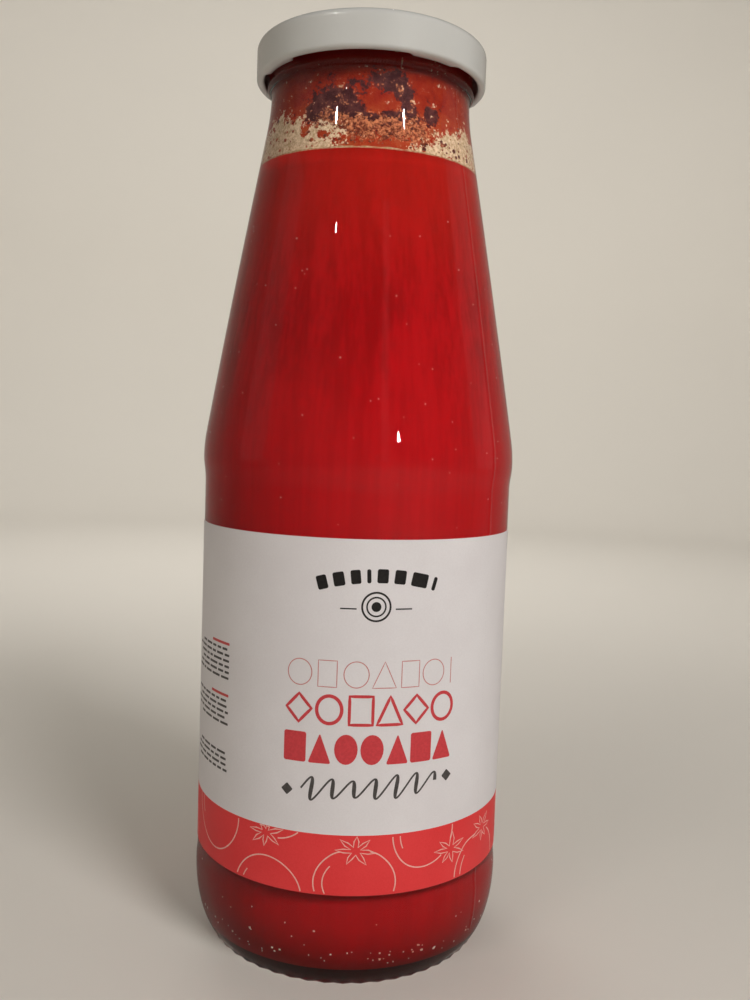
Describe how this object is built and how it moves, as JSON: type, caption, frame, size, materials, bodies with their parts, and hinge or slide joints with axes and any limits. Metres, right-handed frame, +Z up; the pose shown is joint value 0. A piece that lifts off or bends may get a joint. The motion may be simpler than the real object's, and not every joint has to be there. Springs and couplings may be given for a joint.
{
  "type": "passata bottle",
  "caption": "Tall clear glass bottle of red tomato passata with a paper wrap label, a tapering neck and a white twist-off metal lid",
  "frame": {"origin": "on the table, under the bottle's axis", "axes": "+Z up along the bottle's axis, -Y towards the middle of the label's front"},
  "size_m": [0.0778, 0.0778, 0.2202],
  "materials": {
    "clear_glass": "clear flint glass, smooth and glossy",
    "passata": "smooth deep red tomato passata, wet against the glass",
    "label_paper": "smooth white paper with a soft sheen, red printed band and plain printed shapes",
    "lid_lacquer": "satin white lacquer on sheet steel"
  },
  "bodies": {
    "root": {"bottle": "clear_glass", "passata": "passata", "label": "label_paper", "lid": "lid_lacquer"}
  },
  "joints": []
}
